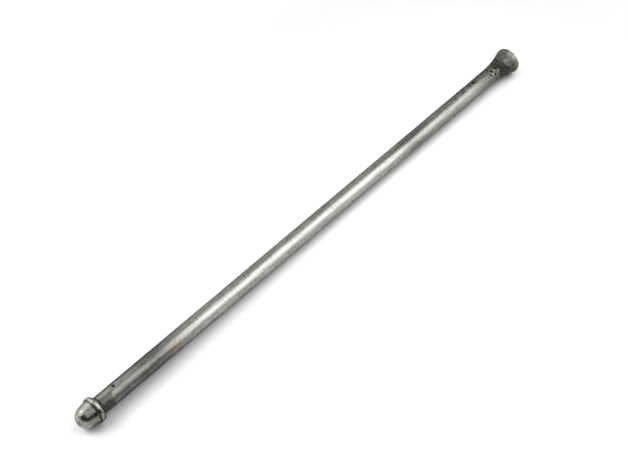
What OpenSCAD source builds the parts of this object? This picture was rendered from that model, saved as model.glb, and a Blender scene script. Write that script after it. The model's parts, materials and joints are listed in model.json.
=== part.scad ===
// Engine pushrod, upset and turned from a single bar of steel.
// It lies along X: the ball's centre is at the origin and the cup opens towards +X.

/* [Shank] */
// Diameter of the ground shank
shank_d = 6.35; // [5:0.05:7]
// Overall length, from the crown of the ball to the rim of the cup
overall_l = 224.5; // [120:0.5:320]

/* [Ball end] */
// Diameter of the ball tip
ball_d = 7.62; // [7:0.02:9.5]
// How far ahead of the ball's centre the ball meets the tapered body
nose_edge = 1.15; // [0.9:0.05:1.6]
// Half angle of the tapered body, in degrees
body_taper = 9.2; // [5:0.1:11]
// Length of the body, from the ball's centre to the groove
body_l = 2.4; // [1.6:0.05:5]
// Radius of the round groove between body and collar
groove_r = 0.22; // [0.12:0.01:0.4]

/* [Collar] */
// How far the collar stands proud of the body
collar_rise = 0.36; // [0.1:0.01:0.6]
// Width of the collar along the rod
collar_w = 1.8; // [1.4:0.05:4]
// How much higher the middle of the collar is than its edges
collar_crown = 0.2; // [0.2:0.02:0.6]
// Radius of the fillet behind the collar
collar_fillet = 0.35; // [0.1:0.05:0.8]

/* [Cup] */
// Radius of the spherical seat
seat_r = 3.9; // [3.4:0.05:5]
// How much wider than the seat the straight lip is, on the radius
lip_clearance = 0.05; // [0.02:0.01:0.3]
// Depth from the rim to the centre of the seat
lip_depth = 1.3; // [0.8:0.05:3]
// Wall of the cup at its rim
rim_wall = 1.15; // [0.7:0.05:2]
// Length of the straight land round the rim
rim_land = 1; // [0.3:0.05:2]
// Radius of the hollow curve that flares from the shank to the rim
flare_r = 40; // [16:0.5:60]
// Bevel inside the mouth
mouth_bevel = 0.25; // [0.1:0.05:0.4]
// Bevel on the outer edge of the rim
rim_bevel = 0.15; // [0.05:0.05:0.25]

/* [Hidden] */
$fn = 128;

// The half section is drawn with radius along X and the rod's axis along Y.
shank_r = shank_d / 2;
ball_r = ball_d / 2;
rim_y = overall_l - ball_r;

// The body's side passes through the ball's surface at the nose edge.
nose_edge_r = sqrt(ball_r * ball_r - nose_edge * nose_edge);
function body_r(y) = nose_edge_r + (y + nose_edge) * tan(body_taper);
// Between its two crossings the side dips inside the ball, deepest here.
dip_y = -body_r(0) * cos(body_taper) * sin(body_taper);

collar_r = body_r(body_l) + collar_rise;
collar_end = body_l + collar_w;
collar_crown_r = (collar_w * collar_w / 4 + collar_crown * collar_crown) / (2 * collar_crown);
collar_step = collar_r - collar_crown - shank_r;
fillet_r = min(collar_fillet, collar_step);

lip_r = seat_r + lip_clearance;
rim_r = lip_r + rim_wall;
seat_y = rim_y - lip_depth;
flare_rise = rim_r - shank_r;
flare_l = sqrt(flare_rise * (2 * flare_r - flare_rise));
flare_y = rim_y - rim_land - flare_l;

// Ball and tapered body: a cone trimmed to the ball in front of the nose edge.
module tip_section() {
    intersection() {
        polygon([
            [0, -ball_r],
            [body_r(-ball_r), -ball_r],
            [body_r(body_l), body_l],
            [0, body_l]
        ]);
        union() {
            circle(ball_r);
            translate([0, dip_y])
                square([2 * ball_r, body_l + ball_r]);
        }
    }
}

// Collar: a band with a crowned face, and a fillet down to the shank behind it.
module collar_section() {
    intersection() {
        translate([0, body_l])
            square([collar_r, collar_w]);
        union() {
            translate([collar_r - collar_crown_r, body_l + collar_w / 2])
                circle(collar_crown_r);
            translate([0, body_l])
                square([collar_r - collar_crown, collar_w]);
        }
    }
    difference() {
        translate([0, body_l + collar_w / 2])
            square([shank_r + fillet_r, collar_w / 2 + fillet_r]);
        translate([shank_r + fillet_r, collar_end + fillet_r])
            circle(fillet_r);
    }
}

// Shank: straight bar from the collar to the start of the flare.
module shank_section() {
    translate([0, body_l])
        square([shank_r, flare_y - body_l]);
}

// Flare: a hollow curve that leaves the shank smoothly and ends in the rim's land.
module flare_section() {
    difference() {
        translate([0, flare_y])
            square([rim_r, rim_y - flare_y]);
        translate([shank_r + flare_r, flare_y])
            circle(flare_r);
    }
}

// Cup: a spherical seat for the rocker's ball, with a straight lip above it.
module cup_section() {
    translate([0, seat_y])
        circle(seat_r);
    translate([0, seat_y])
        square([lip_r, 2 * lip_depth]);
}

// A cut that bevels the rim's edge at radius r; side is 1 outside and -1 inside.
module rim_bevel_cut(r, size, side) {
    translate([r, rim_y])
        rotate(-45 * side)
            translate([-2 * size, -size / sqrt(2)])
                square([4 * size, 2 * size]);
}

module pushrod() {
    color("#8f908c")
        rotate([0, 90, 0])
            rotate_extrude()
                difference() {
                    union() {
                        tip_section();
                        collar_section();
                        shank_section();
                        flare_section();
                    }
                    translate([body_r(body_l), body_l])
                        circle(groove_r);
                    cup_section();
                    rim_bevel_cut(rim_r, rim_bevel, 1);
                    rim_bevel_cut(lip_r, mouth_bevel, -1);
                }
}

pushrod();
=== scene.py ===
"""Looks of an engine pushrod: one steel bar with a turned ball end, a ground shank and a flared cup.

The rod lies along +X with the centre of its ball at the origin. Lengths are in millimetres until a mesh,
a lamp or the camera is made, and angles round the rod are in degrees from +Z towards -Y.
"""

import json
import logging
import math
from dataclasses import dataclass, replace
from enum import Enum
from itertools import chain

import bpy
import numpy as np
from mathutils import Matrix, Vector


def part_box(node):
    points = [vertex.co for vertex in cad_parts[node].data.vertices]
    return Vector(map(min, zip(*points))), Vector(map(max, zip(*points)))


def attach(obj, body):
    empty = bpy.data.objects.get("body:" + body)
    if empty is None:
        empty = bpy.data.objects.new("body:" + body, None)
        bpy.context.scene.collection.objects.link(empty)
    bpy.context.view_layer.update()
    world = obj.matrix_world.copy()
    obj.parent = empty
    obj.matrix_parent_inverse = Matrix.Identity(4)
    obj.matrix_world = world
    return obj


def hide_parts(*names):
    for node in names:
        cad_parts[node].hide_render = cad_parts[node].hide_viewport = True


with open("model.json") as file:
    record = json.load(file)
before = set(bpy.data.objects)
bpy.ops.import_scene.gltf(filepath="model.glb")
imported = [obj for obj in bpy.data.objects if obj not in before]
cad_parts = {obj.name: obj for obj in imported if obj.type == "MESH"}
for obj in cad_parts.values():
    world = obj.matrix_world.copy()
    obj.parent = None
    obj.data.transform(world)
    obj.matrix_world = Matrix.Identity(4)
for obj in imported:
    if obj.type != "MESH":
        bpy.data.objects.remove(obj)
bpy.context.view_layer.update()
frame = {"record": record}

MM = 0.001
NODE = "pushrod"
BODY = "root"
SEED = 41
SCATTER_SEED = SEED + 2

Point = tuple[float, float]
Pairs = tuple[Point, ...]
Place = tuple[float, float, float]
Colour = tuple[float, float, float, float]
Socket = bpy.types.NodeSocket

log = logging.getLogger("pushrod")


class Stretch(Enum):
    """Stretches of the outline that have a finish of their own, in order from the nose to the seat."""

    NOSE = 0
    BODY = 1
    BAR = 2
    FLARE = 3
    CUP = 4


class MarkKind(Enum):
    """What a single mark on the steel is."""

    PIT = "pit"
    LUMP = "lump"
    # Grime marks are real dirt in some places and painted shade in others.
    GRIME_AND_SHADE = "grime"
    STAIN = "stain"


@dataclass(frozen=True)
class Line:
    """A straight stretch of the outline, between two points (place along the rod, radius)."""

    start: Point
    end: Point

    def sample(self, step: float) -> np.ndarray:
        """Points spread evenly from start to end.

        Args:
            step: greatest distance between two points.

        Returns:
            Array of (place along the rod, radius), both ends included.
        """
        length = math.dist(self.start, self.end)
        share = np.linspace(0.0, 1.0, max(2, math.ceil(length / step) + 1))
        return np.outer(1.0 - share, self.start) + np.outer(share, self.end)


@dataclass(frozen=True)
class Arc:
    """A round stretch of the outline, given by its centre, its radius and the directions of its two ends."""

    centre: Point
    radius: float
    start_deg: float
    end_deg: float

    def sample(self, step: float) -> np.ndarray:
        """Points on the circle: centre plus radius times (cosine, sine) of an angle that runs evenly.

        Args:
            step: greatest distance between two points.

        Returns:
            Array of (place along the rod, radius), both ends included.
        """
        length = self.radius * math.radians(abs(self.end_deg - self.start_deg))
        count = max(2, math.ceil(length / step) + 1)
        turn = np.radians(np.linspace(self.start_deg, self.end_deg, count))
        return np.array(self.centre) + self.radius * np.column_stack((np.cos(turn), np.sin(turn)))


Curve = Line | Arc


def direction_deg(centre: Point, point: Point) -> float:
    """Direction in degrees from centre to point, from 0 to 360."""
    return math.degrees(math.atan2(point[1] - centre[1], point[0] - centre[0])) % 360.0


def circles_meet(centre_a: Point, radius_a: float, centre_b: Point, radius_b: float) -> Point:
    """Where two circles cross, on the left hand of the way from a to b.

    Args:
        centre_a: centre of the first circle.
        radius_a: its radius.
        centre_b: centre of the second circle.
        radius_b: its radius.

    Returns:
        The crossing point: along the line of centres by (d*d + ra*ra - rb*rb) / 2d, then square to it.
    """
    gap = math.dist(centre_a, centre_b)
    along = (gap**2 + radius_a**2 - radius_b**2) / (2.0 * gap)
    aside = math.sqrt(radius_a**2 - along**2)
    ux = (centre_b[0] - centre_a[0]) / gap
    uy = (centre_b[1] - centre_a[1]) / gap
    return (centre_a[0] + along * ux - aside * uy, centre_a[1] + along * uy + aside * ux)


@dataclass
class BallEnd:
    """The turned tip: a round nose, a tapered body, a round groove and a crowned collar."""

    ball_radius: float
    nose_edge: float = 1.15
    taper_deg: float = 9.2
    body_length: float = 2.4
    groove_radius: float = 0.22
    collar_rise: float = 0.36
    collar_width: float = 1.8
    collar_crown: float = 0.20

    def nose_edge_radius(self) -> float:
        """Radius of the edge where the nose meets the body."""
        return math.sqrt(self.ball_radius**2 - self.nose_edge**2)

    def body_radius(self) -> float:
        """Radius of the tapered body at its wide end."""
        rise = (self.body_length + self.nose_edge) * math.tan(math.radians(self.taper_deg))
        return self.nose_edge_radius() + rise

    def collar_end(self) -> Point:
        """The collar's rear corner."""
        return (self.body_length + self.collar_width, self.collar_radius() - self.collar_crown)

    def collar_radius(self) -> float:
        """Radius of the collar at the top of its crown."""
        return self.body_radius() + self.collar_rise

    def nose_outline(self) -> list[Curve]:
        """The nose: an arc about the ball's centre.

        Returns:
            That one curve, from the pole to the edge where the body starts.
        """
        origin = (0.0, 0.0)
        edge = (-self.nose_edge, self.nose_edge_radius())
        return [Arc(origin, self.ball_radius, 180.0, direction_deg(origin, edge))]

    def body_outline(self) -> list[Curve]:
        """Taper, groove arc and collar arc.

        The crown is the circle through the collar's two edges and its top: its radius is
        (half width squared + crown squared) / (2 crown).

        Returns:
            The curves in order, from the edge of the nose to the collar's rear corner.
        """
        edge = (-self.nose_edge, self.nose_edge_radius())
        groove = (self.body_length, self.body_radius())
        slope = math.radians(self.taper_deg)
        groove_start = (
            groove[0] - self.groove_radius * math.cos(slope),
            groove[1] - self.groove_radius * math.sin(slope),
        )
        half = self.collar_width / 2.0
        crown_radius = (half**2 + self.collar_crown**2) / (2.0 * self.collar_crown)
        crown = (self.body_length + half, self.collar_radius() - crown_radius)
        groove_end = circles_meet(crown, crown_radius, groove, self.groove_radius)
        if groove_end[0] < groove[0]:
            groove_end = circles_meet(groove, self.groove_radius, crown, crown_radius)
        groove_turn = (direction_deg(groove, groove_start), direction_deg(groove, groove_end))
        crown_turn = (direction_deg(crown, groove_end), direction_deg(crown, self.collar_end()))
        return [
            Line(edge, groove_start),
            Arc(groove, self.groove_radius, *groove_turn),
            Arc(crown, crown_radius, *crown_turn),
        ]


@dataclass
class Shank:
    """The ground bar, from the fillet behind the collar to the land of the flare."""

    collar_end: Point
    rim_x: float
    rim_radius: float
    radius: float = 3.175
    fillet: float = 0.35
    flare_radius: float = 40.0
    rim_land: float = 1.0
    rim_bevel: float = 0.15

    def flare_start(self) -> float:
        """Place along the rod where the flare leaves the bar."""
        rise = self.rim_radius - self.radius
        return self.rim_x - self.rim_land - math.sqrt(rise * (2.0 * self.flare_radius - rise))

    def flare_centre(self) -> Point:
        """Centre of the flare's hollow curve."""
        return (self.flare_start(), self.radius + self.flare_radius)

    def flare_end(self) -> Point:
        """Where the flare reaches the rim's radius."""
        return (self.rim_x - self.rim_land, self.rim_radius)

    def bar_outline(self) -> list[Curve]:
        """Collar's rear face, fillet and straight bar.

        Returns:
            The curves in order, from the collar's rear corner to the start of the flare.
        """
        fillet_centre = (self.collar_end[0] + self.fillet, self.radius + self.fillet)
        bar_start = (fillet_centre[0], self.radius)
        return [
            Line(self.collar_end, (self.collar_end[0], fillet_centre[1])),
            Arc(fillet_centre, self.fillet, 180.0, 270.0),
            Line(bar_start, (self.flare_start(), self.radius)),
        ]

    def flare_outline(self) -> list[Curve]:
        """Flare arc, land and outer bevel.

        Returns:
            The curves in order, from the end of the bar to the rim plane.
        """
        centre = self.flare_centre()
        land_end = (self.rim_x - self.rim_bevel, self.rim_radius)
        return [
            Arc(centre, self.flare_radius, 270.0, direction_deg(centre, self.flare_end())),
            Line(self.flare_end(), land_end),
            Line(land_end, (self.rim_x, self.rim_radius - self.rim_bevel)),
        ]


@dataclass
class Cup:
    """The mouth of the cup: rim face, bevelled lip and the round seat for a rocker's ball."""

    rim_x: float
    rim_start: float
    lip_radius: float
    mouth_bevel: float = 0.25
    lip_depth: float = 1.3
    lip_clearance: float = 0.05

    def outline(self) -> list[Curve]:
        """Rim face, mouth bevel, lip bore, step and seat arc.

        Returns:
            The curves in order, from the rim's outer edge to the bottom of the seat.
        """
        seat_radius = self.lip_radius - self.lip_clearance
        seat = (self.rim_x - self.lip_depth, 0.0)
        mouth = (self.rim_x, self.lip_radius + self.mouth_bevel)
        lip = (self.rim_x - self.mouth_bevel, self.lip_radius)
        return [
            Line((self.rim_x, self.rim_start), mouth),
            Line(mouth, lip),
            Line(lip, (seat[0], self.lip_radius)),
            Line((seat[0], self.lip_radius), (seat[0], seat_radius)),
            Arc(seat, seat_radius, 90.0, 180.0),
        ]


@dataclass(frozen=True)
class Outline:
    """The whole outline as even samples, with edges eased as a deburred part's are."""

    places: np.ndarray
    radii: np.ndarray
    lengths: np.ndarray
    ends: tuple[float, ...]


SAME_POINT = 1e-9
BELL_REACH = 4.0


def join_outline(stretches: list[list[Curve]], step: float, ease: float) -> Outline:
    """Joins curves into one outline and rounds its corners.

    The outline is resampled evenly by its own length, mirrored at both poles, and averaged with a bell
    curve of the given reach, which leaves straight runs as they are and turns corners into small arcs.

    Args:
        stretches: the curves of each stretch, in order.
        step: distance between samples.
        ease: reach of the bell curve along the outline.

    Returns:
        The eased outline, with the length at which each stretch ends.
    """
    parts = []
    ends = []
    for curves in stretches:
        parts.extend(curve.sample(step) for curve in curves)
        joined = np.concatenate(parts)
        ends.append(float(np.hypot(*np.diff(joined, axis=0).T).sum()))
    raw = np.concatenate(parts)
    moves = np.hypot(*np.diff(raw, axis=0).T)
    keep = np.concatenate(([True], moves > SAME_POINT))
    raw = raw[keep]
    at = np.concatenate(([0.0], np.cumsum(np.hypot(*np.diff(raw, axis=0).T))))
    even = np.linspace(0.0, at[-1], round(at[-1] / step) + 1)
    place = np.interp(even, at, raw[:, 0])
    radius = np.interp(even, at, raw[:, 1])
    reach = math.ceil(BELL_REACH * ease / step)
    bell = np.exp(-0.5 * (np.arange(-reach, reach + 1) * step / ease) ** 2)
    bell /= bell.sum()
    place = np.concatenate((place[reach:0:-1], place, place[-2:-reach - 2:-1]))
    radius = np.concatenate((-radius[reach:0:-1], radius, -radius[-2:-reach - 2:-1]))
    return Outline(
        np.convolve(place, bell, "valid"),
        np.convolve(radius, bell, "valid"),
        even,
        tuple(ends),
    )


@dataclass(frozen=True)
class Mark:
    """One pit, lump, stain or dark patch, by its place along and round the rod and its size on the surface; a
    dark patch is dirt in some places and painted shade in others.
    """

    kind: MarkKind
    along: float
    angle: float
    length: float
    width: float
    depth: float
    strength: float

    def lift(self) -> float:
        """Greatest height of the mark over the steel round it, below 0 for a pit."""
        return -self.depth if self.kind is MarkKind.PIT else self.depth

    def mask(self, along: np.ndarray, angle: np.ndarray, radius: np.ndarray) -> np.ndarray:
        """Bell-shaped patch: e to minus the cube of the distance, measured in half lengths and half widths.

        Args:
            along: place along the rod of each vertex.
            angle: angle round the rod of each vertex, in degrees.
            radius: radius of each vertex.

        Returns:
            Mask from 0 to 1, of the same shape.
        """
        turn = (angle - self.angle + 180.0) % 360.0 - 180.0
        across = np.radians(turn) * radius / (self.width / 2.0)
        ahead = (along - self.along) / (self.length / 2.0)
        return np.exp(-np.hypot(ahead, across) ** 3)


@dataclass(frozen=True)
class Waves:
    """Smooth seeded noise: a sum of cosines of waves that run in random directions through space."""

    seed: int
    shortest: float
    longest: float
    count: int = 28

    def at(self, points: np.ndarray) -> np.ndarray:
        """Noise at points, about -1 to 1.

        Args:
            points: array whose last axis is a place in space.

        Returns:
            Array without the last axis.
        """
        rng = np.random.default_rng(self.seed)
        ways = rng.normal(size=(self.count, 3))
        ways /= np.linalg.norm(ways, axis=1, keepdims=True)
        length = self.longest * (self.shortest / self.longest) ** rng.random(self.count)
        phase = rng.random(self.count) * 2.0 * math.pi
        total = np.zeros(points.shape[:-1])
        for way, wave, start in zip(ways, length, phase):
            total += np.cos(points @ way * (2.0 * math.pi / wave) + start)
        return total / math.sqrt(self.count)


def smooth_step(value: np.ndarray, low: float | np.ndarray, high: float | np.ndarray) -> np.ndarray:
    """Ramp from 0 at low to 1 at high, as 3t*t - 2t*t*t.

    Args:
        value: where to look.
        low: where the ramp starts.
        high: where it ends.

    Returns:
        Array of the shape of value.
    """
    t = np.clip((value - low) / (high - low), 0.0, 1.0)
    return t * t * (3.0 - 2.0 * t)


def follow(pairs: Pairs, value: np.ndarray) -> np.ndarray:
    """Straight lines through pairs of (where, what), looked up at value and level past both ends."""
    return np.interp(value, *zip(*pairs))


@dataclass(frozen=True)
class Band:
    """A soft-edged stretch of places or angles: 0 up to start, 1 from full to fade and 0 again from end."""

    start: float = -2.0e6
    full: float = -1.0e6
    fade: float = 1.0e6
    end: float = 2.0e6
    start_fray: float = 0.0
    end_fray: float = 0.0

    def at(self, value: np.ndarray, ragged: float | np.ndarray = 0.0) -> np.ndarray:
        """Smooth ramp up times smooth ramp down, each moved by its own share of a noise.

        Args:
            value: places or angles to look at.
            ragged: noise that frays the band's two sides.

        Returns:
            Weight from 0 to 1, of the shape of value.
        """
        rise = smooth_step(value - self.start_fray * ragged, self.start, self.full)
        return rise * (1.0 - smooth_step(value - self.end_fray * ragged, self.fade, self.end))


RAGGED = Waves(SEED, 0.7, 5.0)
CRUST = Waves(SEED + 1, 0.35, 1.6)
WANDER = Waves(SEED + 12, 0.35, 1.6)

PIT, LUMP, GRIME_AND_SHADE, STAIN = MarkKind
BALL_MARKS = (
    Mark(PIT, 4.70, 58.0, 0.60, 0.60, 0.05, 1.0),
    Mark(PIT, 4.75, 74.0, 0.60, 0.60, 0.05, 0.9),
    Mark(PIT, 5.60, 8.0, 0.75, 0.50, 0.04, 0.6),
    Mark(PIT, 6.36, 22.0, 0.50, 0.40, 0.02, 0.4),
    Mark(PIT, 12.01, -9.0, 1.25, 1.35, 0.06, 1.0),
    Mark(GRIME_AND_SHADE, 13.90, 83.0, 1.20, 1.00, 0.00, 0.75),
    Mark(GRIME_AND_SHADE, 14.46, 8.0, 2.40, 1.10, 0.00, 0.3),
    Mark(GRIME_AND_SHADE, -3.52, 30.0, 0.50, 1.80, 0.00, 0.75),
    Mark(GRIME_AND_SHADE, 2.75, 26.0, 0.45, 0.50, 0.00, 0.8),
    # Painted shade: the next four grime marks darken the underside of the ball and body, where they reflect
    # the shadow on the floor, and the lower side of the collar.
    Mark(GRIME_AND_SHADE, 0.90, 108.0, 4.40, 5.20, 0.00, 0.50),
    Mark(GRIME_AND_SHADE, 1.30, 68.0, 3.60, 2.60, 0.00, 0.50),
    Mark(GRIME_AND_SHADE, 2.00, 74.0, 1.00, 4.00, 0.00, 0.72),
    Mark(GRIME_AND_SHADE, 3.40, 46.0, 2.40, 3.00, 0.00, 0.34),
    # Painted shade: a dark line along the bar under its highlight, where the bar reflects dark surroundings.
    Mark(GRIME_AND_SHADE, 24.0, 54.0, 30.0, 1.50, 0.00, 0.30),
    Mark(STAIN, 37.0, 63.0, 10.0, 4.00, 0.00, 1.0),
)
BAR_MARKS = (
    # Dark bands above and below the highlight: partly a dark film on the bar, partly painted shade that
    # sharpens the highlight's edges.
    Mark(GRIME_AND_SHADE, 159.0, 6.0, 52.0, 2.20, 0.00, 0.60),
    Mark(GRIME_AND_SHADE, 161.0, 77.0, 24.0, 2.00, 0.00, 0.36),
)
CUP_MARKS = (
    Mark(PIT, 191.2, -1.0, 1.00, 0.90, 0.03, 0.8),
    Mark(PIT, 192.2, -32.0, 0.80, 0.80, 0.03, 0.6),
    Mark(PIT, 195.7, 105.0, 0.80, 0.80, 0.03, 0.6),
    Mark(PIT, 198.1, -10.0, 1.90, 1.60, 0.03, 0.85),
    Mark(PIT, 198.9, 4.0, 0.70, 0.60, 0.03, 0.5),
    Mark(PIT, 203.5, -56.0, 0.80, 0.90, 0.04, 0.7),
    Mark(PIT, 204.7, -41.0, 1.20, 1.00, 0.05, 0.9),
    Mark(GRIME_AND_SHADE, 204.2, 68.0, 2.00, 2.00, 0.00, 0.2),
    Mark(PIT, 206.5, 35.0, 1.10, 1.00, 0.06, 0.9),
    Mark(PIT, 207.5, -14.0, 1.20, 1.10, 0.08, 1.0),
    Mark(PIT, 208.1, 17.0, 1.30, 1.50, 0.09, 1.0),
    Mark(PIT, 208.7, 47.0, 1.10, 0.90, 0.08, 1.0),
    Mark(PIT, 210.2, -5.0, 1.00, 1.10, 0.08, 1.0),
    Mark(PIT, 210.2, 14.0, 0.90, 1.50, 0.08, 1.0),
    Mark(PIT, 208.5, 25.0, 0.80, 0.90, 0.05, 0.8),
    Mark(PIT, 209.7, 36.0, 0.80, 0.80, 0.05, 0.6),
    Mark(PIT, 210.5, 26.0, 1.00, 1.10, 0.05, 0.8),
    Mark(PIT, 211.8, 58.0, 0.80, 0.80, 0.08, 0.9),
    Mark(GRIME_AND_SHADE, 208.9, 88.0, 2.00, 1.70, 0.00, 0.8),
    Mark(LUMP, 209.2, 17.5, 1.10, 1.10, 0.08, 0.9),
    Mark(LUMP, 207.6, 38.0, 1.00, 1.00, 0.09, 1.0),
    Mark(LUMP, 210.7, 44.0, 1.10, 1.00, 0.09, 0.9),
    Mark(GRIME_AND_SHADE, 217.8, 65.0, 0.70, 0.70, 0.00, 0.6),
    Mark(GRIME_AND_SHADE, 218.7, 63.0, 0.70, 0.70, 0.00, 0.5),
    Mark(GRIME_AND_SHADE, 218.1, 91.0, 1.30, 1.00, 0.00, 0.7),
    Mark(LUMP, 217.8, 83.0, 0.70, 0.60, 0.04, 0.8),
)


@dataclass(frozen=True)
class Scatter:
    """Random small marks over one stretch of the rod, between two places and two angles."""

    count: int
    along: tuple[float, float]
    angles: tuple[float, float]
    sizes: tuple[float, float]
    depths: tuple[float, float]
    strengths: tuple[float, float]
    lump_share: float = 0.0
    crowding: float = 1.0

    def marks(self, seed: int) -> list[Mark]:
        """Draws the marks; a crowding over 1 sets them closer together towards the far end of the stretch.

        Args:
            seed: start of the random draws.

        Returns:
            The marks.
        """
        rng = np.random.default_rng(seed)
        made = []
        for _ in range(self.count):
            kind = LUMP if rng.random() < self.lump_share else PIT
            along = self.along[1] - (self.along[1] - self.along[0]) * rng.random() ** self.crowding
            size = rng.uniform(*self.sizes)
            depth = rng.uniform(*self.depths)
            angle = rng.uniform(*self.angles)
            made.append(Mark(kind, along, angle, size, size, depth, rng.uniform(*self.strengths)))
        return made


SCATTERS = (
    Scatter(26, (202.2, 211.5), (120.0, 295.0), (0.6, 1.1), (0.03, 0.09), (0.5, 0.9), 0.28, 1.7),
    Scatter(64, (184.0, 206.0), (-55.0, 6.0), (0.5, 0.95), (0.01, 0.03), (0.5, 0.9)),
    Scatter(10, (209.8, 214.6), (-78.0, -22.0), (0.5, 0.9), (0.03, 0.06), (0.6, 1.0), 0.3),
    Scatter(20, (6.0, 34.0), (-80.0, -38.0), (0.6, 1.2), (0.02, 0.04), (0.4, 0.8)),
    Scatter(16, (6.0, 40.0), (120.0, 275.0), (0.6, 1.2), (0.02, 0.05), (0.4, 0.8)),
)


@dataclass(frozen=True)
class Rings:
    """The rings of the surface: place along the rod, radius, outward direction and stretch number."""

    along: np.ndarray
    radius: np.ndarray
    facing: np.ndarray
    stretch: np.ndarray


@dataclass(frozen=True)
class Skin:
    """Every point of the turned surface but its two poles, one row for each ring."""

    along: np.ndarray
    angle: np.ndarray
    radius: np.ndarray
    outside: np.ndarray

    def places(self) -> np.ndarray:
        """Places in space on the last axis: (x, -r sin a, r cos a)."""
        turn = np.radians(self.angle)
        return np.stack((self.along, -self.radius * np.sin(turn), self.radius * np.cos(turn)), axis=-1)


@dataclass(frozen=True)
class Heat:
    """What heating for the upset ends left: black scale at both necks and a grey film behind the collar.

    The patch and the film go round the rod's underside, so their angles are counted on from a seam.
    """

    seam: float = -60.0
    ring: Band = Band(4.22, 4.40, 5.0, 5.8, end_fray=0.25)
    ring_cover: float = 0.95
    patch_round: Band = Band(36.0, 56.0, 205.0, 240.0, start_fray=8.0)
    patch_start: Band = Band(4.22, 4.40)
    patch_end: Band = Band(fade=7.7, end=9.5, end_fray=0.5)
    patch_drift: Pairs = ((35.0, 0.0), (105.0, 1.4))
    neck_start: Band = Band(-0.35, 0.35, start_fray=0.35)
    neck_starts: Pairs = (
        (-180, 211.1), (-47, 210.7), (-18, 211.0), (-4, 211.3), (8, 210.3), (24, 210.4),
        (33, 211.0), (52, 211.2), (68, 210.7), (101, 210.8), (130, 211.3), (180, 211.1),
    )
    neck_end: Band = Band(fade=-0.4, end=0.4, end_fray=0.3)
    neck_ends: Pairs = (
        (-180, 215.6), (-87, 215.8), (-34, 215.4), (-1, 213.9), (30, 214.5),
        (39, 215.0), (84, 216.6), (130, 216.2), (180, 215.6),
    )
    film_round: Band = Band(2.0, 16.0, 205.0, 240.0, start_fray=4.0)
    film_start: Band = Band(4.59, 4.60)
    film_end: Band = Band(fade=9.95, end=10.85, end_fray=0.3)
    film_drift: Pairs = ((0.0, 0.0), (60.0, 1.8))

    def turned(self, skin: Skin) -> np.ndarray:
        """Angle round the rod, counted on from the seam."""
        return (skin.angle - self.seam) % 360.0 + self.seam

    def scale(self, skin: Skin, ragged: np.ndarray) -> np.ndarray:
        """Where black scale covers the steel: a ring and a patch behind the collar, and the cup's neck.

        Args:
            skin: the surface.
            ragged: noise that frays the edges of the scale.

        Returns:
            The strongest of the three masks at each point, from 0 to 1, and 0 inside the cup.
        """
        turned = self.turned(skin)
        ring = self.ring_cover * self.ring.at(skin.along, ragged)
        patch = self.patch_round.at(turned, ragged) * self.patch_start.at(skin.along)
        patch *= self.patch_end.at(skin.along - follow(self.patch_drift, turned), ragged)
        neck = self.neck_start.at(skin.along - follow(self.neck_starts, skin.angle), ragged)
        neck *= self.neck_end.at(skin.along - follow(self.neck_ends, skin.angle), ragged)
        return np.maximum.reduce((ring, patch, neck)) * skin.outside

    def film(self, skin: Skin, ragged: np.ndarray) -> np.ndarray:
        """Where a grey film dulls the bar behind the collar, above the black patch.

        Args:
            skin: the surface.
            ragged: noise that frays the edges of the film.

        Returns:
            Mask from 0 to 1 at each point.
        """
        turned = self.turned(skin)
        film = self.film_round.at(turned, ragged) * self.film_start.at(skin.along)
        return film * self.film_end.at(skin.along + follow(self.film_drift, turned), ragged)


@dataclass(frozen=True)
class TonePatch:
    """A patch where the steel is drawn brighter or darker than the rest, by its places, its angles and the
    change; most such patches are painted highlight or painted shade.
    """

    along: Band
    angle: Band
    change: float

    def factor(self, skin: Skin) -> np.ndarray:
        """What the tone is multiplied by: 1 plus the change times both bands."""
        return 1.0 + self.change * self.along.at(skin.along) * self.angle.at(skin.angle)


# Tone along the rod, as (place, factor). It is partly real stain, heat tint and scale, and partly painted
# light: the dimming towards both ends stands in part for the key light's falloff, the collar's bright front
# and dark rear are painted highlight and painted shade, and the lifted nose and rim are painted highlights.
TONE_AND_PAINTED_LIGHT = (
    (-3.8, 1.10), (-2.5, 1.00), (-1.0, 0.95), (2.6, 0.95), (2.8, 1.15), (3.2, 1.05), (3.7, 0.72),
    (4.2, 0.65), (4.59, 0.65), (4.6, 0.50), (13.2, 0.49), (18.4, 0.47), (23.6, 0.38), (28.8, 0.38),
    (31.9, 0.46), (35.0, 0.57), (39.2, 0.73), (43.3, 0.86), (49.5, 0.97), (55.8, 1.00), (151.0, 1.00),
    (155.0, 0.82), (159.0, 0.70), (165.5, 0.82), (173.7, 0.79), (194.4, 0.66), (202.6, 0.55),
    (210.9, 0.37), (216.0, 0.41), (218.3, 0.55), (218.8, 0.78), (219.35, 1.40), (219.9, 0.80), (220.7, 0.85),
)
TONE_PATCHES = {
    # Painted highlight: the bar's upper side behind the collar is lighter where it catches the side lamp.
    "painted top highlight": TonePatch(Band(4.59, 4.60, 19.0, 27.0), Band(-23.0, -11.0, 5.0, 17.0), 0.33),
    # Painted highlight: the bar's lower side near the cup is lighter, where the highlight spreads down.
    "painted lower highlight": TonePatch(Band(174.0, 202.0, 209.0, 212.0), Band(28.0, 66.0, 92.0, 118.0), 0.40),
    # Painted shade: the collar's lower side is darker, which moves its highlight up.
    "painted collar shade": TonePatch(Band(3.3, 3.8, 4.2, 4.6), Band(20.0, 45.0, 120.0, 150.0), -0.50),
    "upper rim": TonePatch(Band(218.2, 219.2), Band(-150.0, -110.0, -4.0, 12.0), -0.45),
    "lower rim": TonePatch(Band(216.3, 217.5), Band(56.0, 68.0, 110.0, 150.0), -0.40),
    # Painted shade: the groove between body and collar is darker all round.
    "groove": TonePatch(Band(1.85, 2.13, 2.55, 2.77), Band(), -0.65),
}


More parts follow.
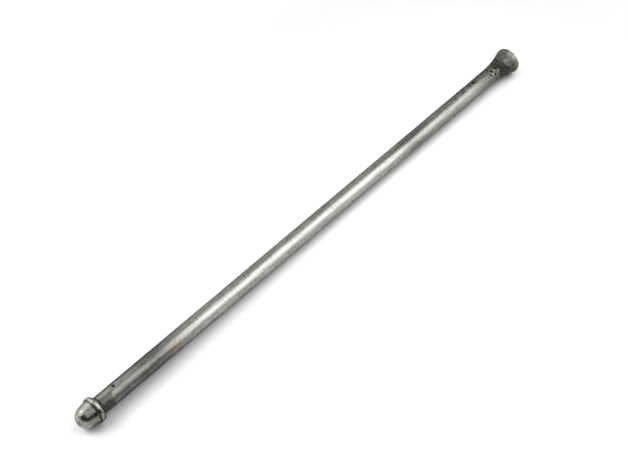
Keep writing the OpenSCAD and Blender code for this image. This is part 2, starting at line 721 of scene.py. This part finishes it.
@dataclass
class Pushrod:
    """The whole rod: one closed surface of revolution with relief, dressed in its finishes."""

    ball_end: BallEnd
    shank: Shank
    cup: Cup
    heat: Heat = Heat()
    segments: int = 160
    step: float = 0.02
    ease: float = 0.05
    fine_ring: float = 0.15
    seat_ring: float = 0.26
    bar_ring: float = 0.40
    coarse_ring: float = 1.8
    fine_tip: float = 14.0
    fine_cup: float = 25.0
    widening: float = 8.0
    coarse_from: float = 24.0
    coarse_widening: float = 16.0
    seat_from: float = 3.0
    seat_widening: float = 2.0
    crust_height: float = 0.012
    unevenness: float = 0.12
    ripples: Band = Band(214.4, 217.5)
    ripple_height: float = 0.010
    ripple_pitch: float = 0.8
    ripple_wander: float = 0.5
    film_shade: float = 0.54
    seat_tone: float = 0.7
    dull: Band = Band(192.0, 206.0)

    def rings(self) -> Rings:
        """Rings of the surface, close together at both ends and wide apart along the bar.

        The wanted spacing is a function of the length along the outline; its inverse is summed, and the
        rings are where that sum passes whole numbers.

        Returns:
            The rings, from the pole of the nose to the pole of the seat.
        """
        stretches = [
            self.ball_end.nose_outline(),
            self.ball_end.body_outline(),
            self.shank.bar_outline(),
            self.shank.flare_outline(),
            self.cup.outline(),
        ]
        line = join_outline(stretches, self.step, self.ease)
        length = line.lengths
        half = length.size // 2
        rim = line.ends[Stretch.FLARE.value]
        near = float(np.interp(self.fine_tip, line.places[:half], length[:half]))
        far = rim - self.fine_cup
        bar = Band(near, near + self.widening, far - self.widening, far)
        first = near + self.coarse_from
        last = far - self.coarse_from
        middle = Band(first, first + self.coarse_widening, last, last + self.coarse_widening)
        seat = Band(rim + self.seat_from, rim + self.seat_from + self.seat_widening)
        spacing = np.full(length.size, self.fine_ring)
        spacing += bar.at(length) * (self.bar_ring - self.fine_ring)
        spacing += middle.at(length) * (self.coarse_ring - self.bar_ring)
        spacing += seat.at(length) * (self.seat_ring - self.fine_ring)
        count = np.concatenate(([0.0], np.cumsum(self.step / spacing[1:])))
        at = np.interp(np.linspace(0.0, count[-1], round(count[-1]) + 1), count, length)
        ahead = np.interp(at, length, np.gradient(line.places, length))
        out = np.interp(at, length, np.gradient(line.radii, length))
        size = np.hypot(ahead, out)
        return Rings(
            np.interp(at, length, line.places),
            np.maximum(np.interp(at, length, line.radii), 0.0),
            np.column_stack((-out / size, ahead / size)),
            np.searchsorted(np.array(line.ends[:-1]), at + self.step),
        )

    def skin(self, rings: Rings) -> Skin:
        """The smooth surface: each ring's place and radius, repeated at evenly spread angles.

        Args:
            rings: the rings, poles included.

        Returns:
            The surface without its poles.
        """
        turns = np.arange(self.segments) * (360.0 / self.segments) - 180.0
        along, angle = np.meshgrid(rings.along[1:-1], turns, indexing="ij")
        radius = np.repeat(rings.radius[1:-1, None], self.segments, axis=1)
        outside = (rings.stretch[1:-1] < Stretch.CUP.value)[:, None]
        return Skin(along, angle, radius, outside)

    def marked(self, skin: Skin, crust: np.ndarray) -> tuple[dict[str, np.ndarray], np.ndarray]:
        """Masks and relief of all marks; noise first moves the points a little, so no mark is quite round.

        Args:
            skin: the surface.
            crust: noise that moves the points along the rod.

        Returns:
            The strongest mask of each kind by its name, and the height of all pits and lumps together.
        """
        wander = self.unevenness * WANDER.at(skin.places())
        along = skin.along + self.unevenness * crust
        angle = skin.angle + np.degrees(wander / np.maximum(skin.radius, 1.0))
        masks = {kind.value: np.zeros_like(along) for kind in MarkKind}
        height = np.zeros_like(along)
        scattered = (scatter.marks(SCATTER_SEED + number) for number, scatter in enumerate(SCATTERS))
        for mark in chain(BALL_MARKS, BAR_MARKS, CUP_MARKS, *scattered):
            name = mark.kind.value
            mask = mark.mask(along, angle, skin.radius) * skin.outside
            masks[name] = np.maximum(masks[name], mark.strength * mask)
            height += mark.lift() * mask
        return masks, height

    def ripple(self, skin: Skin, ragged: np.ndarray) -> np.ndarray:
        """Turned ripples on the flare: a sine along the rod, a little uneven, that only cuts into the steel.

        Args:
            skin: the surface.
            ragged: noise that makes the ripples uneven.

        Returns:
            Height at each point, 0 or below.
        """
        turn = 2.0 * math.pi * skin.along / self.ripple_pitch + self.ripple_wander * ragged
        return self.ripple_height * self.ripples.at(skin.along) * skin.outside * (np.sin(turn) - 1.0)

    def raised(self, skin: Skin, rings: Rings, relief: np.ndarray) -> Skin:
        """Moves each point by its relief along the outline's outward direction, inside the rod's own box.

        Args:
            skin: the smooth surface.
            rings: its rings.
            relief: height at each point.

        Returns:
            The surface with its relief.
        """
        along = np.clip(skin.along + rings.facing[1:-1, :1] * relief, rings.along[0], rings.along.max())
        radius = np.minimum(skin.radius + rings.facing[1:-1, 1:] * relief, self.shank.rim_radius)
        return replace(skin, along=along, radius=radius)

    def tones(self, skin: Skin, ragged: np.ndarray) -> np.ndarray:
        """How bright the steel is drawn: a curve along the rod times each patch and the film; the curve and
        the patches hold real stains and painted highlight and shade.

        Args:
            skin: the surface.
            ragged: noise that frays the edges of the film.

        Returns:
            Tone at each point, round 1 on clean steel.
        """
        tone = follow(TONE_AND_PAINTED_LIGHT, skin.along)
        for patch in TONE_PATCHES.values():
            tone *= patch.factor(skin)
        tone *= 1.0 - self.film_shade * self.heat.film(skin, ragged)
        return np.where(skin.outside, tone, self.seat_tone)

    def faces(self, rings: int) -> list[list[int]]:
        """Four-sided faces between neighbouring rings, closed by a fan of triangles at each pole.

        Args:
            rings: number of rings between the two poles, which are the last two points.

        Returns:
            The faces from the nose to the seat, all facing outwards.
        """
        here = np.arange(self.segments)
        following = (here + 1) % self.segments
        ring = np.arange(rings - 1)[:, None] * self.segments
        after = ring + self.segments
        quads = np.stack((ring + here, ring + following, after + following, after + here), axis=-1)
        nose = np.full(self.segments, rings * self.segments)
        last = (rings - 1) * self.segments
        nose_fan = np.stack((nose, following, here), axis=-1)
        seat_fan = np.stack((last + here, last + following, nose + 1), axis=-1)
        return nose_fan.tolist() + quads.reshape(-1, 4).tolist() + seat_fan.tolist()

    def build(self) -> bpy.types.Object:
        """Turns the outline about the rod's axis, adds the relief and makes the mesh.

        The relief is the crust of the scale, the hollows of pits, the bumps of lumps and the turned ripples.

        Returns:
            The rod's object, dressed.
        """
        rings = self.rings()
        skin = self.skin(rings)
        ragged = RAGGED.at(skin.places())
        crust = CRUST.at(skin.places())
        scale = self.heat.scale(skin, ragged)
        marks, relief = self.marked(skin, crust)
        relief += self.crust_height * scale * crust
        relief += self.ripple(skin, ragged)
        raised = self.raised(skin, rings, relief)
        poles = np.zeros((2, 3))
        poles[:, 0] = rings.along[[0, -1]]
        points = np.concatenate((raised.places().reshape(-1, 3), poles)) * MM
        mesh = bpy.data.meshes.new(NODE)
        mesh.from_pydata(points.tolist(), [], self.faces(len(skin.along)))
        dull = self.dull.at(raised.along) * raised.outside
        self.dress(mesh, rings, {"scale": scale, **marks, "tone": self.tones(raised, ragged), "dull": dull})
        rod = bpy.data.objects.new("pushrod_steel", mesh)
        bpy.context.scene.collection.objects.link(rod)
        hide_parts(NODE)
        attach(rod, BODY)
        return rod

    def dress(self, mesh: bpy.types.Mesh, rings: Rings, masks: dict[str, np.ndarray]) -> None:
        """Gives the mesh its masks as attributes and each stretch its finish.

        Args:
            mesh: the rod's mesh.
            rings: its rings.
            masks: values at each point but the poles, by the name that the finishes read.
        """
        mesh.polygons.foreach_set("use_smooth", np.ones(len(mesh.polygons), dtype=bool))
        for name, values in masks.items():
            layer = mesh.attributes.new(name, "FLOAT", "POINT")
            flat = np.concatenate((values.ravel(), values[0, :1], values[-1, :1]))
            layer.data.foreach_set("value", flat.astype(np.float32))
        mesh.update()
        mesh.validate()
        for stretch in Stretch:
            mesh.materials.append(FINISHES[stretch].material())
        strips = np.concatenate(([Stretch.NOSE.value], rings.stretch[1:-2], [Stretch.CUP.value]))
        mesh.polygons.foreach_set("material_index", np.repeat(strips, self.segments).astype(np.int32))


class Graph:
    """Short ways to add and link nodes in one node tree."""

    def __init__(self, tree: bpy.types.NodeTree) -> None:
        """Holds the tree."""
        self.tree = tree

    def node(self, kind: str, **settings: object) -> bpy.types.Node:
        """Adds a node and sets its properties.

        Args:
            kind: Blender's name of the node's class.
            settings: properties by name.

        Returns:
            The new node.
        """
        made = self.tree.nodes.new(kind)
        for name, value in settings.items():
            setattr(made, name, value)
        return made

    def feed(self, socket: Socket, value: object) -> None:
        """Links an output to a socket, or sets the socket's own value.

        Args:
            socket: the input to feed.
            value: another node's output, or a plain value.
        """
        if isinstance(value, Socket):
            self.tree.links.new(value, socket)
        else:
            socket.default_value = value

    def math(self, operation: str, first: object, second: object = 0.0) -> Socket:
        """Result of a Math node.

        Args:
            operation: Blender's name of the operation.
            first: first value or output.
            second: second value or output.

        Returns:
            The node's output.
        """
        made = self.node("ShaderNodeMath", operation=operation)
        self.feed(made.inputs[0], first)
        self.feed(made.inputs[1], second)
        return made.outputs[0]

    def ramp(self, value: object, low: float, high: float, start: object, end: object) -> Socket:
        """Result of a smooth Map Range node.

        Args:
            value: what is mapped.
            low: value at which the ramp starts.
            high: value at which it ends.
            start: result at low.
            end: result at high.

        Returns:
            The node's output.
        """
        made = self.node("ShaderNodeMapRange", interpolation_type="SMOOTHSTEP")
        names = ("Value", "From Min", "From Max", "To Min", "To Max")
        for name, put in zip(names, (value, low, high, start, end)):
            self.feed(made.inputs[name], put)
        return made.outputs["Result"]

    def blend(self, share: object, first: object, second: object) -> Socket:
        """Colour between two colours.

        Args:
            share: 0 for the first, 1 for the second.
            first: first colour or output.
            second: second colour or output.

        Returns:
            The mix's colour output.
        """
        made = self.node("ShaderNodeMix", data_type="RGBA")
        self.feed(made.inputs[0], share)
        self.feed(made.inputs[6], first)
        self.feed(made.inputs[7], second)
        return made.outputs[2]

    def attribute(self, name: str) -> Socket:
        """The value of one of the mesh's masks."""
        return self.node("ShaderNodeAttribute", attribute_name=name).outputs["Fac"]

    def place(self) -> Socket:
        """Object coordinates in millimetres.

        Returns:
            The scaled coordinates.
        """
        scaled = self.node("ShaderNodeVectorMath", operation="SCALE")
        self.feed(scaled.inputs[0], self.node("ShaderNodeTexCoord").outputs["Object"])
        scaled.inputs["Scale"].default_value = 1.0 / MM
        return scaled.outputs[0]

    def noise(self, vector: object, scale: object, detail: float, rough: float) -> Socket:
        """Result of a 3-D Noise Texture.

        Args:
            vector: coordinates.
            scale: features for each unit.
            detail: octaves.
            rough: weight of the finer octaves.

        Returns:
            The noise from 0 to 1.
        """
        made = self.node("ShaderNodeTexNoise", noise_dimensions="3D")
        for name, put in zip(("Vector", "Scale", "Detail", "Roughness"), (vector, scale, detail, rough)):
            self.feed(made.inputs[name], put)
        return made.outputs["Fac"]


GroupParts = tuple[Graph, dict[str, Socket], bpy.types.Node]


def new_group(name: str, inputs: dict[str, float], outputs: tuple[str, ...]) -> GroupParts:
    """Makes a shader node group with value sockets.

    Args:
        name: the group's name.
        inputs: default of each input by name.
        outputs: names of the outputs.

    Returns:
        The group's graph, its inputs by name and its output node.
    """
    tree = bpy.data.node_groups.new(name, "ShaderNodeTree")
    for label, value in inputs.items():
        socket = tree.interface.new_socket(name=label, in_out="INPUT", socket_type="NodeSocketFloat")
        socket.default_value = value
    for label in outputs:
        tree.interface.new_socket(name=label, in_out="OUTPUT", socket_type="NodeSocketFloat")
    graph = Graph(tree)
    entry = graph.node("NodeGroupInput")
    leave = graph.node("NodeGroupOutput")
    return graph, {label: entry.outputs[label] for label in inputs}, leave


def turning_group() -> bpy.types.NodeTree:
    """Lines that a lathe or a grinding wheel leaves round the rod: noise that changes only along X.

    Returns:
        The group, with a Lines output from 0 to 1.
    """
    graph, given, leave = new_group("turning_lines", {"Lines per mm": 4.0}, ("Lines",))
    along = graph.node("ShaderNodeSeparateXYZ")
    graph.feed(along.inputs[0], graph.place())
    made = graph.node("ShaderNodeTexNoise", noise_dimensions="1D")
    graph.feed(made.inputs["W"], along.outputs["X"])
    graph.feed(made.inputs["Scale"], given["Lines per mm"])
    graph.feed(made.inputs["Detail"], 3.0)
    graph.feed(leave.inputs["Lines"], made.outputs["Fac"])
    return graph.tree


DRAWN_OUT = (0.06, 1.0, 1.0)
STREAKS_PER_MM = 1.6
SPECKS_PER_MM = 1.1
FRAYING = 0.9
BLOTCHES_PER_MM = 0.9


def mottle_group() -> bpy.types.NodeTree:
    """Handling stains and streaks: cloudy noise times noise drawn out along X.

    Returns:
        The group, with a Tone output round 1 and a Cloud output from 0 to 1.
    """
    wanted = {"Clouds per mm": 0.5, "Amount": 0.2, "Specks": 0.2}
    graph, given, leave = new_group("handled_steel", wanted, ("Tone", "Cloud"))
    place = graph.place()
    cloud = graph.noise(place, given["Clouds per mm"], detail=5.0, rough=0.6)
    drawn = graph.node("ShaderNodeVectorMath", operation="MULTIPLY")
    graph.feed(drawn.inputs[0], place)
    drawn.inputs[1].default_value = DRAWN_OUT
    streak = graph.noise(drawn.outputs[0], STREAKS_PER_MM, detail=3.0, rough=0.5)
    swing = graph.math("SUBTRACT", graph.math("ADD", cloud, streak), 1.0)
    tone = graph.math("ADD", graph.math("MULTIPLY", swing, given["Amount"]), 1.0)
    speckle = graph.noise(place, SPECKS_PER_MM, detail=3.0, rough=0.6)
    speck = graph.ramp(speckle, low=0.56, high=0.70, start=0.0, end=1.0)
    dark = graph.math("SUBTRACT", 1.0, graph.math("MULTIPLY", speck, given["Specks"]))
    graph.feed(leave.inputs["Tone"], graph.math("MULTIPLY", tone, dark))
    graph.feed(leave.inputs["Cloud"], cloud)
    return graph.tree


def crust_group() -> bpy.types.NodeTree:
    """Frays a painted mask with fine noise, so that scale ends in specks and not in a blur.

    Returns:
        The group, with a Cover output from 0 to 1, a Grain output and a Shade output round 1.
    """
    wanted = {"Mask": 0.0, "Specks per mm": 2.2}
    graph, given, leave = new_group("frayed_scale", wanted, ("Cover", "Grain", "Shade"))
    grain = graph.noise(graph.place(), given["Specks per mm"], detail=4.0, rough=0.65)
    fray = graph.math("MULTIPLY", graph.math("SUBTRACT", grain, 0.5), FRAYING)
    frayed = graph.math("ADD", given["Mask"], fray)
    graph.feed(leave.inputs["Cover"], graph.ramp(frayed, low=0.30, high=0.72, start=0.0, end=1.0))
    graph.feed(leave.inputs["Grain"], grain)
    blotch = graph.noise(graph.place(), BLOTCHES_PER_MM, detail=4.0, rough=0.6)
    graph.feed(leave.inputs["Shade"], graph.ramp(blotch, low=0.32, high=0.68, start=0.55, end=1.45))
    return graph.tree


GROUPS = {"turning": turning_group(), "mottle": mottle_group(), "crust": crust_group()}


BAR_STEEL = (0.2555, 0.2575, 0.243, 1.0)
END_STEEL = (0.2535, 0.2575, 0.231, 1.0)
SCALE_BLACK = (0.035, 0.035, 0.031)
BROWNING = (1.06, 1.00, 0.92, 1.0)


@dataclass(frozen=True)
class MarkShade:
    """How a mark changes the tone: not at all where its mask is low, by the full factor where it is high."""

    low: float
    high: float
    full: float


MARK_SHADES = {
    PIT: MarkShade(0.10, 0.85, 0.12),
    GRIME_AND_SHADE: MarkShade(0.05, 0.90, 0.30),
    LUMP: MarkShade(0.10, 0.80, 1.90),
}


@dataclass(frozen=True)
class SteelFinish:
    """One finish of the rod's steel."""

    name: str
    steel: Colour
    roughness: float
    lines_per_mm: float
    line_height: float
    line_tone: float
    clouds_per_mm: float
    cloud_amount: float
    specks: float
    edge: float
    dulling: float = 0.0
    noise_low: float = 0.3
    noise_high: float = 0.7
    smoother: float = 0.04
    rougher: float = 0.06
    scale_roughness: float = 0.40
    scale_gloss: float = 0.2

    def stained(self) -> Colour:
        """The steel's colour under a thin brown stain."""
        return tuple(part * change for part, change in zip(self.steel, BROWNING))

    def shade(self, graph: Graph, kind: MarkKind) -> Socket:
        """Factor by which marks of one kind change the tone.

        Args:
            graph: the material's graph.
            kind: which marks.

        Returns:
            The factor's output.
        """
        change = MARK_SHADES[kind]
        return graph.ramp(graph.attribute(kind.value), change.low, change.high, 1.0, change.full)

    def material(self) -> bpy.types.Material:
        """Steel darkened by stains, pits, dirt, painted shade and scale, and lightened in places by painted
        highlight, with turning lines as bump.

        Returns:
            The material.
        """
        made = bpy.data.materials.new(self.name)
        made.use_nodes = True
        graph = Graph(made.node_tree)
        shader = made.node_tree.nodes["Principled BSDF"]

        turning = graph.node("ShaderNodeGroup", node_tree=GROUPS["turning"])
        turning.inputs["Lines per mm"].default_value = self.lines_per_mm
        mottle = graph.node("ShaderNodeGroup", node_tree=GROUPS["mottle"])
        mottle.inputs["Clouds per mm"].default_value = self.clouds_per_mm
        mottle.inputs["Amount"].default_value = self.cloud_amount
        mottle.inputs["Specks"].default_value = self.specks
        crust = graph.node("ShaderNodeGroup", node_tree=GROUPS["crust"])
        graph.feed(crust.inputs["Mask"], graph.attribute("scale"))
        lines = turning.outputs["Lines"]
        cover = crust.outputs["Cover"]

        pitted = self.shade(graph, PIT)
        faint = 1.0 - self.line_tone
        strong = 1.0 + self.line_tone
        # The tone attribute carries stains and heat tint together with painted highlight and painted shade;
        # the grime factor below darkens both dirt and painted shade.
        tone = graph.math("MULTIPLY", graph.attribute("tone"), mottle.outputs["Tone"])
        tone = graph.math("MULTIPLY", tone, graph.ramp(lines, self.noise_low, self.noise_high, faint, strong))
        for factor in (pitted, self.shade(graph, GRIME_AND_SHADE), self.shade(graph, LUMP)):
            tone = graph.math("MULTIPLY", tone, factor)
        worn = graph.node("ShaderNodeVectorMath", operation="SCALE")
        graph.feed(worn.inputs[0], graph.blend(graph.attribute("stain"), self.steel, self.stained()))
        graph.feed(worn.inputs["Scale"], tone)
        crusted = graph.node("ShaderNodeVectorMath", operation="SCALE")
        crusted.inputs[0].default_value = SCALE_BLACK
        graph.feed(crusted.inputs["Scale"], graph.math("MULTIPLY", pitted, crust.outputs["Shade"]))
        graph.feed(shader.inputs["Base Color"], graph.blend(cover, worn.outputs[0], crusted.outputs[0]))
        graph.feed(shader.inputs["Metallic"], graph.ramp(cover, low=0.0, high=1.0, start=1.0, end=0.0))

        smooth = self.roughness - self.smoother
        coarse = self.roughness + self.rougher
        rough = graph.ramp(mottle.outputs["Cloud"], self.noise_low, self.noise_high, smooth, coarse)
        rough = graph.math("ADD", rough, graph.math("MULTIPLY", graph.attribute("dull"), self.dulling))
        rough = graph.math("ADD", rough, graph.math("MULTIPLY", cover, self.scale_roughness))
        graph.feed(shader.inputs["Roughness"], rough)
        shader.inputs["Specular IOR Level"].default_value = self.scale_gloss
        shader.inputs["Specular Tint"].default_value = (self.edge, self.edge, self.edge, 1.0)

        bump = graph.node("ShaderNodeBump")
        bump.inputs["Strength"].default_value = 1.0
        bump.inputs["Distance"].default_value = self.line_height * MM
        grain = graph.math("MULTIPLY", cover, crust.outputs["Grain"])
        graph.feed(bump.inputs["Height"], graph.math("ADD", lines, grain))
        graph.feed(shader.inputs["Normal"], bump.outputs["Normal"])
        return made


FINISHES = {
    Stretch.NOSE: SteelFinish(
        "worn_nose", END_STEEL, roughness=0.22, lines_per_mm=3.0, line_height=0.0015, line_tone=0.03,
        clouds_per_mm=1.6, cloud_amount=1.2, specks=0.15, edge=1.0,
    ),
    Stretch.BODY: SteelFinish(
        "turned_body", END_STEEL, roughness=0.22, lines_per_mm=3.0, line_height=0.0015, line_tone=0.05,
        clouds_per_mm=1.6, cloud_amount=1.2, specks=0.15, edge=0.5,
    ),
    Stretch.BAR: SteelFinish(
        "ground_bar", BAR_STEEL, roughness=0.30, lines_per_mm=3.0, line_height=0.0012, line_tone=0.03,
        clouds_per_mm=0.8, cloud_amount=1.0, specks=0.36, edge=0.45, dulling=0.24,
    ),
    Stretch.FLARE: SteelFinish(
        "turned_flare", END_STEEL, roughness=0.50, lines_per_mm=1.8, line_height=0.0020, line_tone=0.16,
        clouds_per_mm=0.7, cloud_amount=1.7, specks=0.30, edge=0.7,
    ),
    Stretch.CUP: SteelFinish(
        "cup_seat", END_STEEL, roughness=0.28, lines_per_mm=4.0, line_height=0.0015, line_tone=0.05,
        clouds_per_mm=0.4, cloud_amount=0.25, specks=0.20, edge=0.7,
    ),
}


def heading(azimuth: float, elevation: float) -> Place:
    """Unit vector that looks towards a direction: (cos e cos a, cos e sin a, sin e).

    Args:
        azimuth: degrees from +X through +Y.
        elevation: degrees above the floor.

    Returns:
        The vector.
    """
    turn = math.radians(azimuth)
    rise = math.radians(elevation)
    return (math.cos(rise) * math.cos(turn), math.cos(rise) * math.sin(turn), math.sin(rise))


@dataclass(frozen=True)
class SoftLight:
    """A round soft source in the studio's surroundings: full strength to core degrees, none past reach."""

    azimuth: float
    elevation: float
    core: float
    reach: float
    strength: float


POWER_PER_GLOW = 4.0


@dataclass(frozen=True)
class Softbox:
    """A flat lamp that faces a point: its glow is the brightness of its face."""

    name: str
    place: Place
    target: Place
    width: float
    height: float
    glow: float
    floor_only: bool
    spread: float = 180.0

    def build(self, floor: bpy.types.Object) -> bpy.types.Object:
        """Makes the lamp; Blender's power for a flat lamp is four times its area times its glow.

        Args:
            floor: what the lamp lights where it lights the floor alone.

        Returns:
            The lamp's object.
        """
        data = bpy.data.lights.new(self.name, "AREA")
        data.shape = "RECTANGLE"
        data.size = self.width * MM
        data.size_y = self.height * MM
        data.energy = POWER_PER_GLOW * data.size * data.size_y * self.glow
        data.spread = math.radians(self.spread)
        lamp = bpy.data.objects.new(self.name, data)
        place = Vector(self.place) * MM
        lamp.location = place
        lamp.rotation_mode = "QUATERNION"
        lamp.rotation_quaternion = (Vector(self.target) * MM - place).to_track_quat("-Z", "Y")
        lamp.visible_camera = False
        bpy.context.scene.collection.objects.link(lamp)
        if self.floor_only:
            lit = bpy.data.collections.new(self.name + "_lights")
            lit.objects.link(floor)
            lamp.light_linking.receiver_collection = lit
        return lamp


@dataclass
class Studio:
    """Pale floor, soft surroundings, lamps and the camera."""

    near_contact: Point
    far_contact: Point
    camera_place: Place = (-128.81, -206.98, 349.945)
    camera_target: Place = (105.868, -0.250, -4.720)
    lens: float = 77.388
    sensor: float = 36.0
    nearest_seen: float = 10.0
    farthest_seen: float = 1.0e5
    floor_half: float = 4000.0
    floor_roughness: float = 0.9
    floor_pale: float = 0.44
    # The floor's colour rises from pale near the rod to nearly white far away: painted light for the far
    # floor, which the lamps light less.
    far_floor_painted_light: float = 0.96
    floor_stretch: float = 0.6
    pale_until: float = 88.0
    palest_from: float = 182.0
    ambient: float = 0.66
    lights: tuple[SoftLight, ...] = (
        SoftLight(346.0, 64.0, 6.0, 30.0, 1.6),
        SoftLight(319.0, 51.0, 8.0, 34.0, 2.5),
        SoftLight(311.0, 31.0, 6.0, 30.0, 2.1),
        SoftLight(305.0, 9.0, 5.0, 24.0, 1.0),
        SoftLight(110.0, 43.0, 4.0, 14.0, 3.0),
        SoftLight(14.0, 26.0, 8.0, 24.0, 0.95),
        SoftLight(38.0, 31.0, 12.0, 34.0, 0.22),
    )
    lamps: tuple[Softbox, ...] = (
        Softbox(
            "side_lamp", place=(-120.0, 265.0, 232.0), target=(-120.0, 0.0, 0.0),
            width=545.0, height=380.0, glow=1.25, floor_only=False,
        ),
        Softbox(
            "near_lamp", place=(-130.0, 128.0, 204.0), target=(-130.0, 128.0, 0.0),
            width=200.0, height=200.0, glow=8.8, floor_only=True,
        ),
        Softbox(
            "middle_lamp", place=(125.0, -45.0, 150.0), target=(125.0, -45.0, 0.0),
            width=150.0, height=150.0, glow=0.96, floor_only=True, spread=80.0,
        ),
        Softbox(
            "far_lamp", place=(208.0, -45.0, 200.0), target=(208.0, -45.0, 0.0),
            width=200.0, height=200.0, glow=1.03, floor_only=True, spread=90.0,
        ),
    )
    shades: tuple[SoftLight, ...] = (
        SoftLight(189.0, 37.0, 16.0, 34.0, 0.9),
        SoftLight(221.0, 29.0, 16.0, 34.0, 0.9),
        SoftLight(268.0, 20.0, 17.0, 30.0, 0.95),
    )

    def floor_material(self) -> bpy.types.Material:
        """Dull white that rises smoothly from pale to nearly white with the distance from the middle of the
        rod: painted light that brightens the far floor, which the lamps light less.

        Returns:
            The material.
        """
        made = bpy.data.materials.new("pale_floor_painted_far_light")
        made.use_nodes = True
        shader = made.node_tree.nodes["Principled BSDF"]
        graph = Graph(made.node_tree)
        middle = self.floor_stretch * (self.near_contact[0] + self.far_contact[0]) / 2.0
        squeezed = graph.node("ShaderNodeVectorMath", operation="MULTIPLY")
        graph.feed(squeezed.inputs[0], graph.place())
        squeezed.inputs[1].default_value = (self.floor_stretch, 1.0, 0.0)
        away = graph.node("ShaderNodeVectorMath", operation="DISTANCE")
        graph.feed(away.inputs[0], squeezed.outputs[0])
        away.inputs[1].default_value = (middle, 0.0, 0.0)
        far = away.outputs["Value"]
        floor_colour_and_painted_light = graph.ramp(far, self.pale_until, self.palest_from, self.floor_pale, self.far_floor_painted_light)
        graph.feed(shader.inputs["Base Color"], floor_colour_and_painted_light)
        shader.inputs["Roughness"].default_value = self.floor_roughness
        shader.inputs["Specular IOR Level"].default_value = 0.0
        return made

    def floor(self) -> bpy.types.Object:
        """A flat floor that touches the collar and the rim.

        Its height is a straight function of the place along the rod, through both contacts.

        Returns:
            The floor's object.
        """
        slope = (self.far_contact[1] - self.near_contact[1]) / (self.far_contact[0] - self.near_contact[0])
        reach = np.array((-self.floor_half, self.floor_half))
        x, y = np.meshgrid(reach, reach, indexing="ij")
        z = self.near_contact[1] + slope * (x - self.near_contact[0])
        corners = np.stack((x, y, z), axis=-1).reshape(-1, 3) * MM
        mesh = bpy.data.meshes.new("floor")
        mesh.from_pydata(corners.tolist(), [], [(0, 2, 3, 1)])
        mesh.materials.append(self.floor_material())
        floor = bpy.data.objects.new("floor", mesh)
        bpy.context.scene.collection.objects.link(floor)
        return floor

    def patch(self, graph: Graph, light: SoftLight, inside: float, outside: float) -> Socket:
        """A round patch of the surroundings: a smooth ramp over the angle from the patch's middle.

        Args:
            graph: the world's graph.
            light: where the patch is and how far it reaches.
            inside: value within the core.
            outside: value past the reach.

        Returns:
            The value's output.
        """
        facing = graph.node("ShaderNodeVectorMath", operation="DOT_PRODUCT")
        graph.feed(facing.inputs[0], graph.node("ShaderNodeTexCoord").outputs["Generated"])
        facing.inputs[1].default_value = heading(light.azimuth, light.elevation)
        off = graph.math("ARCCOSINE", facing.outputs["Value"])
        return graph.ramp(off, math.radians(light.core), math.radians(light.reach), inside, outside)

    def surroundings(self) -> bpy.types.World:
        """Soft light from all round: an even base, bright round sources and dim patches on the camera's side.

        Returns:
            The world, which the camera itself sees as a plain pale backdrop.
        """
        world = bpy.data.worlds.new("studio")
        bpy.context.scene.world = world
        world.use_nodes = True
        graph = Graph(world.node_tree)
        backdrop = world.node_tree.nodes["Background"]
        total = self.ambient
        for light in self.lights:
            total = graph.math("ADD", total, self.patch(graph, light, light.strength, 0.0))
        for shade in self.shades:
            total = graph.math("MULTIPLY", total, self.patch(graph, shade, 1.0 - shade.strength, 1.0))
        seen = graph.node("ShaderNodeLightPath").outputs["Is Camera Ray"]
        glow = graph.ramp(seen, low=0.0, high=1.0, start=total, end=1.0)
        graph.feed(backdrop.inputs["Strength"], glow)
        backdrop.inputs["Color"].default_value = (1.0, 1.0, 1.0, 1.0)
        return world

    def camera(self) -> bpy.types.Object:
        """The camera at the photograph's angle, level from side to side.

        Returns:
            The camera's object.
        """
        data = bpy.data.cameras.new("camera")
        data.sensor_fit = "HORIZONTAL"
        data.sensor_width = self.sensor
        data.lens = self.lens
        data.clip_start = self.nearest_seen * MM
        data.clip_end = self.farthest_seen * MM
        camera = bpy.data.objects.new("camera", data)
        place = Vector(self.camera_place) * MM
        camera.location = place
        camera.rotation_mode = "QUATERNION"
        camera.rotation_quaternion = (Vector(self.camera_target) * MM - place).to_track_quat("-Z", "Y")
        bpy.context.scene.collection.objects.link(camera)
        bpy.context.scene.camera = camera
        return camera

    def set_up(self) -> None:
        """Makes the camera, the surroundings, the floor and the lamps, with plain colours in the picture."""
        bpy.context.scene.view_settings.view_transform = "Standard"
        self.camera()
        self.surroundings()
        floor = self.floor()
        for lamp in self.lamps:
            lamp.build(floor)


def write_sizes() -> None:
    """Updates the view layer."""
    bpy.context.view_layer.update()


def main() -> None:
    """Builds the rod and the studio in order."""
    logging.basicConfig(level=logging.INFO, format="%(name)s: %(message)s")
    low, high = (np.array(corner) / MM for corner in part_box(NODE))
    mouth = next(mount for mount in frame["record"]["mounts"] if mount["name"] == "cup_mouth")
    rim_radius = float(min(high[1], -low[1], high[2], -low[2]))
    ball_end = BallEnd(ball_radius=float(-low[0]))
    shank = Shank(ball_end.collar_end(), float(high[0]), rim_radius)
    cup = Cup(float(high[0]), rim_radius - shank.rim_bevel, float(mouth["dims"]["r_mm"]))
    rod = Pushrod(ball_end, shank, cup).build()
    log.info("%s: %d vertices, %d faces", rod.name, len(rod.data.vertices), len(rod.data.polygons))
    collar_contact = (ball_end.body_length + ball_end.collar_width / 2.0, -ball_end.collar_radius())
    Studio(collar_contact, (float(high[0]), float(low[2]))).set_up()
    log.info("studio ready")
    write_sizes()


if __name__ == "__main__":
    main()
